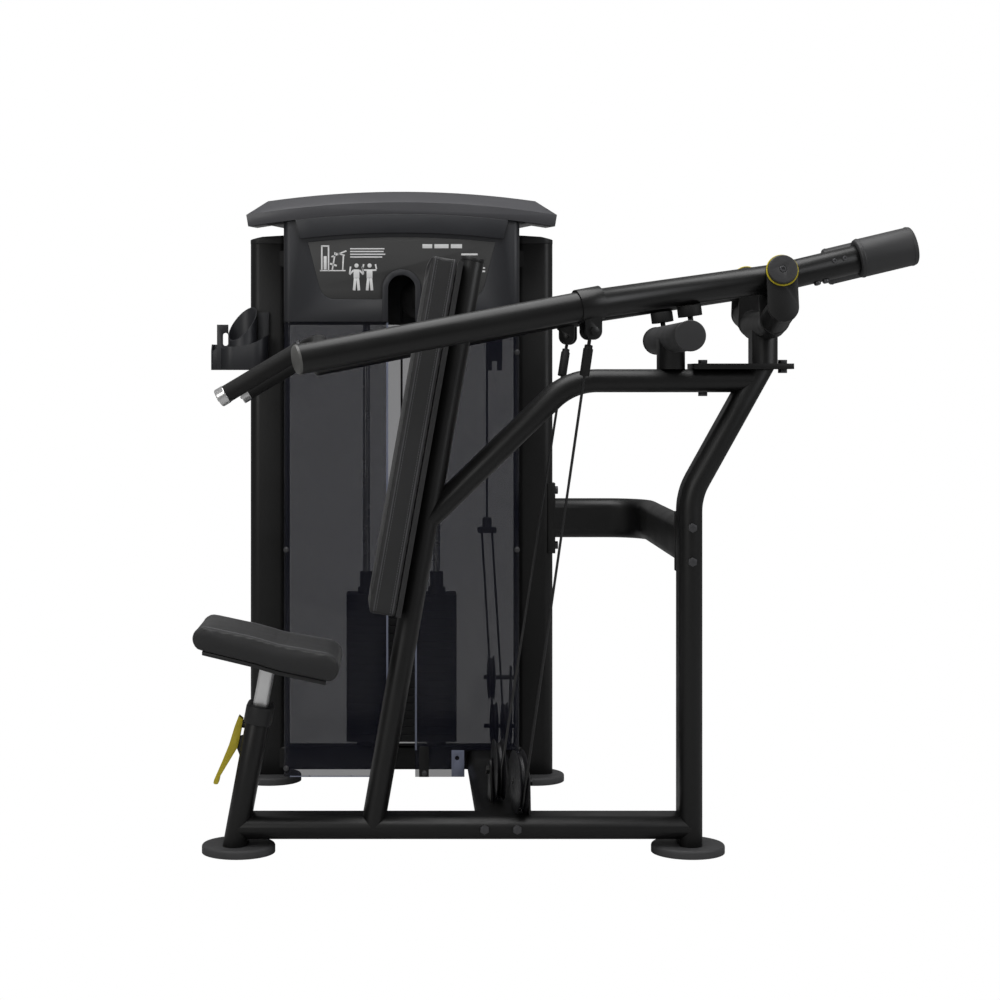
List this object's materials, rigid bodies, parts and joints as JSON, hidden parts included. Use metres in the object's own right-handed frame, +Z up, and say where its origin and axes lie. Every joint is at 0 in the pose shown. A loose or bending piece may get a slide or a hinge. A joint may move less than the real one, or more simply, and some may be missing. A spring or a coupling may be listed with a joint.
{
  "type": "selectorised shoulder press machine",
  "caption": "Selectorised shoulder press: adjustable seat, leaning back pad, independent converging press arms, cable drive and a shrouded weight tower.",
  "frame": {"origin": "centre of the underside of the front foot, on the floor", "axes": "+X from the seat to the arm pivots, +Y from the user station to the weight tower, +Z up"},
  "size_m": [1.6862, 1.5708, 1.6169],
  "materials": {
    "frame_black": "satin black textured powder coat",
    "arm_black": "satin black powder coat",
    "foot_rubber": "matt rubber",
    "pad_vinyl": "grained black vinyl",
    "shell_plastic": "matt black",
    "smoke_panel": "smoked clear polycarbonate",
    "head_plastic": "charcoal moulding",
    "cap_plastic": "grey satin moulding",
    "cup_plastic": "charcoal moulding",
    "plate_iron": "painted black",
    "rod_steel": "ground and chromed",
    "bolt_steel": "black zinc",
    "cable_sheath": "black nylon over steel wire",
    "pulley_plastic": "black glass-filled nylon",
    "grip_rubber": "soft black rubber",
    "knob_metal": "dark grey cover with a yellow ring",
    "lever_yellow": "yellow powder coat"
  },
  "bodies": {
    "station_and_tower": {"base_rail": "frame_black", "feet": "foot_rubber", "upright": "frame_black", "top_beam": "frame_black", "back_post": "frame_black", "lower_link": "frame_black", "cross_arm": "frame_black", "frame_bolts": "bolt_steel", "pivot_stand": "frame_black", "pivot_yoke": "frame_black", "pivot_pins": "knob_metal", "bumper_bar": "frame_black", "rubber_buffers": "grip_rubber", "seat_tube": "frame_black", "seat_collar": "shell_plastic", "back_shell": "shell_plastic", "back_pad": "pad_vinyl", "base_pulley_brackets": "frame_black", "tower_base": "frame_black", "tower_posts": "frame_black", "tower_top": "frame_black", "plastic_caps": "shell_plastic", "guide_rods": "rod_steel", "resting_plates": "plate_iron", "front_shroud": "smoke_panel", "rear_shroud": "smoke_panel", "head_panel": "head_plastic", "head_cap": "cap_plastic", "cup_holder": "cup_plastic", "tower_pulley_bracket": "frame_black", "cable_runs": "cable_sheath", "near_cable_drop": "cable_sheath", "far_cable_drop": "cable_sheath", "stack_cable": "cable_sheath", "yoke_cable": "cable_sheath", "arm_cable_rises": "cable_sheath"},
    "near_press_arm": {"near_arm": "arm_black", "near_grip": "grip_rubber", "near_counterweight": "knob_metal"},
    "far_press_arm": {"far_arm": "arm_black", "far_grip": "grip_rubber", "far_counterweight": "knob_metal"},
    "near_cable_end": {"near_terminal": "grip_rubber"},
    "far_cable_end": {"far_terminal": "grip_rubber"},
    "lifted_stack": {"stack_top": "plate_iron", "lifted_plates": "plate_iron"},
    "cable_yoke": {"equaliser": "bolt_steel"},
    "near_base_wheel": {"near_base_pulley": "pulley_plastic"},
    "far_base_wheel": {"far_base_pulley": "pulley_plastic"},
    "near_tower_wheel": {"near_tower_pulley": "pulley_plastic"},
    "far_tower_wheel": {"far_tower_pulley": "pulley_plastic"},
    "guide_wheel": {"guide_pulley": "pulley_plastic"},
    "stack_head_wheel": {"head_pulley_stack": "pulley_plastic"},
    "yoke_head_wheel": {"head_pulley_yoke": "pulley_plastic"},
    "selector": {"selector_pin": "knob_metal"},
    "seat": {"seat_post": "rod_steel", "seat_board": "shell_plastic", "seat_pad": "pad_vinyl"},
    "seat_handle": {"seat_lever": "lever_yellow"},
    "seat_lock": {"pop_pin": "rod_steel"}
  },
  "joints": [
    {"name": "near_arm_press", "type": "hinge", "parent": "station_and_tower", "child": "near_press_arm", "pos_m": [1.23, -0.183, 1.336], "axis": [0, 0.9728, -0.2317], "range_deg": [0, 30], "deforming": ["near_cable_drop"]},
    {"name": "far_arm_press", "type": "hinge", "parent": "station_and_tower", "child": "far_press_arm", "pos_m": [1.23, 0.183, 1.336], "axis": [0, 0.9728, 0.2317], "range_deg": [0, 30], "deforming": ["far_cable_drop"]},
    {"name": "near_cable_end_swing", "type": "hinge", "parent": "near_press_arm", "child": "near_cable_end", "pos_m": [0.797, -0.312, 1.213], "axis": [-0.0899, -0.9722, -0.2161], "range_deg": [0, 31]},
    {"name": "far_cable_end_swing", "type": "hinge", "parent": "far_press_arm", "child": "far_cable_end", "pos_m": [0.797, 0.312, 1.213], "axis": [0.1026, -0.9752, 0.196], "range_deg": [0, 31]},
    {"name": "stack_lift", "type": "slide", "parent": "station_and_tower", "child": "lifted_stack", "axis": [0, 0, 1], "range_m": [0, 0.24], "deforming": ["stack_cable"]},
    {"name": "yoke_drop", "type": "slide", "parent": "station_and_tower", "child": "cable_yoke", "axis": [0, 0, -1], "range_m": [0, 0.24], "deforming": ["yoke_cable", "arm_cable_rises"]},
    {"name": "near_base_wheel_turn", "type": "hinge", "parent": "station_and_tower", "child": "near_base_wheel", "pos_m": [0.657, 0, 0.165], "axis": [-0.9903, -0.1392, 0], "range_deg": [0, 186]},
    {"name": "far_base_wheel_turn", "type": "hinge", "parent": "station_and_tower", "child": "far_base_wheel", "pos_m": [0.616, 0.15, 0.165], "axis": [-0.9976, -0.0698, 0], "range_deg": [0, 186]},
    {"name": "near_tower_wheel_turn", "type": "hinge", "parent": "station_and_tower", "child": "near_tower_wheel", "pos_m": [0.664, 0.8075, 0.16], "axis": [-1, 0, 0], "range_deg": [0, 202]},
    {"name": "far_tower_wheel_turn", "type": "hinge", "parent": "station_and_tower", "child": "far_tower_wheel", "pos_m": [0.635, 0.8075, 0.16], "axis": [-1, 0, 0], "range_deg": [0, 202]},
    {"name": "guide_wheel_turn", "type": "hinge", "parent": "station_and_tower", "child": "guide_wheel", "pos_m": [0.62718, 0.8125, 0.292], "axis": [-1, 0, 0], "range_deg": [0, 220]},
    {"name": "stack_head_wheel_turn", "type": "hinge", "parent": "station_and_tower", "child": "stack_head_wheel", "pos_m": [0.434, 0.87, 1.33], "axis": [0, 1, 0], "range_deg": [0, 236]},
    {"name": "yoke_head_wheel_turn", "type": "hinge", "parent": "station_and_tower", "child": "yoke_head_wheel", "pos_m": [0.566, 0.87, 1.33], "axis": [0, 1, 0], "range_deg": [0, 236]},
    {"name": "selector_pin_pull", "type": "slide", "parent": "lifted_stack", "child": "selector", "axis": [0, -1, 0], "range_m": [0, 0.1]},
    {"name": "seat_height", "type": "slide", "parent": "station_and_tower", "child": "seat", "axis": [0.1822, 0, 0.9833], "range_m": [0, 0.15]},
    {"name": "seat_lever_squeeze", "type": "hinge", "parent": "station_and_tower", "child": "seat_handle", "pos_m": [-0.004, 0, 0.262], "axis": [0, -1, 0], "range_deg": [0, 12], "stiffness_Nm_per_rad": 1.5, "springref_deg": -17.19},
    {"name": "seat_pin_slide", "type": "slide", "parent": "station_and_tower", "child": "seat_lock", "axis": [-0.9833, 0, 0.1822], "range_m": [0, 0.0085]}
  ],
  "couplings": [
    {"joint": "near_cable_end_swing", "follows": "near_arm_press", "ratio": 0.99055},
    {"joint": "far_cable_end_swing", "follows": "far_arm_press", "ratio": 1.0146},
    {"joint": "stack_lift", "follows": "near_arm_press", "m_per_rad": 0.407},
    {"joint": "yoke_drop", "follows": "near_arm_press", "m_per_rad": 0.407},
    {"joint": "near_base_wheel_turn", "follows": "near_arm_press", "ratio": 6.1667},
    {"joint": "far_base_wheel_turn", "follows": "far_arm_press", "ratio": 6.1667},
    {"joint": "near_tower_wheel_turn", "follows": "near_arm_press", "ratio": 6.6721},
    {"joint": "far_tower_wheel_turn", "follows": "far_arm_press", "ratio": 6.6721},
    {"joint": "guide_wheel_turn", "follows": "far_arm_press", "ratio": 7.2679},
    {"joint": "stack_head_wheel_turn", "follows": "near_arm_press", "ratio": 7.8269},
    {"joint": "yoke_head_wheel_turn", "follows": "near_arm_press", "ratio": 7.8269},
    {"joint": "seat_pin_slide", "follows": "seat_lever_squeeze", "m_per_rad": 0.039}
  ]
}
